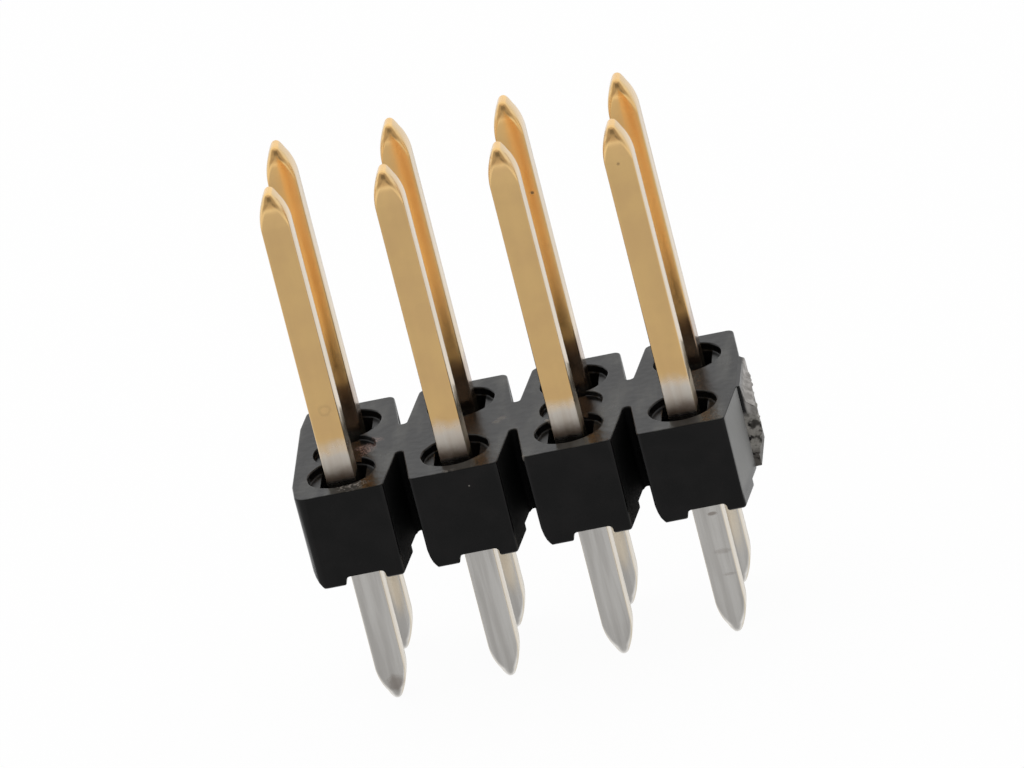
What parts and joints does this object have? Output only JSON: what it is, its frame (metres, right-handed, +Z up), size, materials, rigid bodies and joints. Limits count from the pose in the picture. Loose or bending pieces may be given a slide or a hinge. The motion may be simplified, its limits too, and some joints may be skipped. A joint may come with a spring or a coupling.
{
  "type": "pin header strip",
  "caption": "Double-row male pin header with a notched moulded housing, long gold contact posts and short tinned solder tails.",
  "frame": {"origin": "centre of the pin grid on the seating plane, the flat undersides of the housing's feet", "axes": "+X along the rows towards the torn end, +Y from the front row to the back row, +Z up along the contact posts"},
  "size_m": [0.0102, 0.0048, 0.0123],
  "materials": {
    "housing_plastic": "black glass-filled thermoplastic, glossy from the mould, rough and grey where it was broken",
    "pin_plating": "brass wire, gold-plated on the upper part of the posts and bright tin on the tails"
  },
  "bodies": {
    "root": {"housing": "housing_plastic", "pin_front_1": "pin_plating", "pin_front_2": "pin_plating", "pin_front_3": "pin_plating", "pin_front_4": "pin_plating", "pin_back_1": "pin_plating", "pin_back_2": "pin_plating", "pin_back_3": "pin_plating", "pin_back_4": "pin_plating"}
  },
  "joints": []
}
